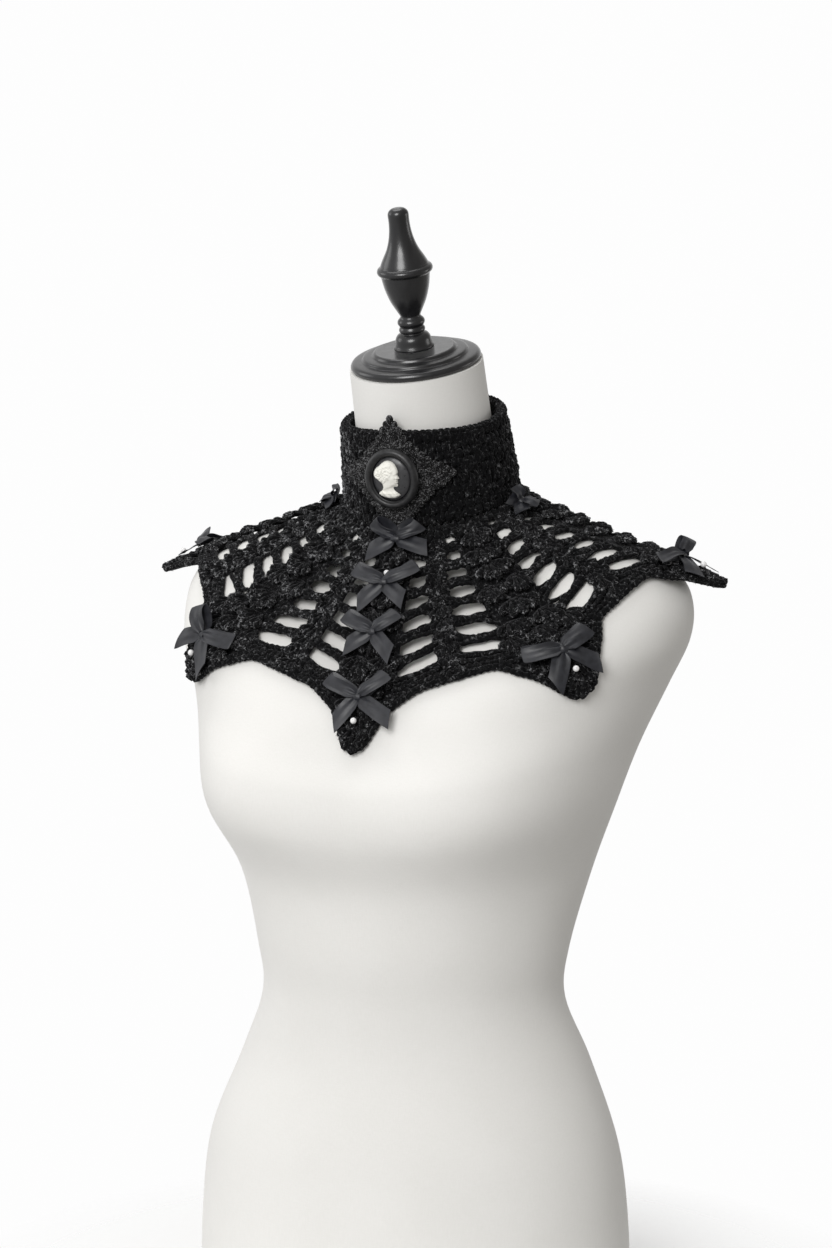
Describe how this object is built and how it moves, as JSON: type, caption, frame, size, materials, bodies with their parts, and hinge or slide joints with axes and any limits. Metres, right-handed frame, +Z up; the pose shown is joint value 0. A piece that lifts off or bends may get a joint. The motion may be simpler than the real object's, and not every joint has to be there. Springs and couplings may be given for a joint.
{
  "type": "crochet capelet collar on a limbless dress form",
  "caption": "Openwork crochet shoulder capelet with a standing collar, thread medallion, cameo brooch and satin bows, worn by a limbless dress form with a turned cap.",
  "frame": {"origin": "on the dress form's flat base, below the middle of its neck's foot from side to side", "axes": "+Z up, the garment's front towards -Y, the wearer's left towards +X"},
  "size_m": [0.4464, 0.2724, 0.7837],
  "materials": {
    "cream_jersey": "fine knitted jersey stretched over a padded form, matt",
    "black_satin_wood": "turned wood under black satin lacquer",
    "black_chenille": "crocheted chenille yarn, deep black pile",
    "black_cotton_thread": "tight crochet in fine thread, matt",
    "black_satin_ribbon": "woven satin ribbon with a soft sheen",
    "black_matt_resin": "cast, matt to satin",
    "ivory_resin": "cast relief, matt ivory",
    "white_pearl": "imitation pearl, soft gloss"
  },
  "bodies": {
    "root": {"bow_back_centre": "black_satin_ribbon", "bow_back_left": "black_satin_ribbon", "bow_back_right": "black_satin_ribbon", "bow_collar_left": "black_satin_ribbon", "bow_collar_right": "black_satin_ribbon", "bow_front_1": "black_satin_ribbon", "bow_front_2": "black_satin_ribbon", "bow_front_3": "black_satin_ribbon", "bow_front_4": "black_satin_ribbon", "bow_front_left": "black_satin_ribbon", "bow_front_right": "black_satin_ribbon", "bow_shoulder_left": "black_satin_ribbon", "bow_shoulder_right": "black_satin_ribbon", "brooch_frame": "black_matt_resin", "brooch_relief": "ivory_resin", "brooch_stone": "black_matt_resin", "button_1": "black_matt_resin", "button_2": "black_matt_resin", "button_3": "black_matt_resin", "collar_stand": "black_chenille", "finial": "black_satin_wood", "form_torso": "cream_jersey", "medallion": "black_cotton_thread", "neck_cap": "black_satin_wood", "pearl_back_left": "white_pearl", "pearl_back_right": "white_pearl", "pearl_front": "white_pearl", "pearl_front_left": "white_pearl", "pearl_front_right": "white_pearl", "pearl_front_spine": "white_pearl", "pearl_shoulder_left": "white_pearl", "pearl_shoulder_right": "white_pearl", "yoke_back_left": "black_chenille", "yoke_back_right": "black_chenille", "yoke_front": "black_chenille"}
  },
  "joints": []
}
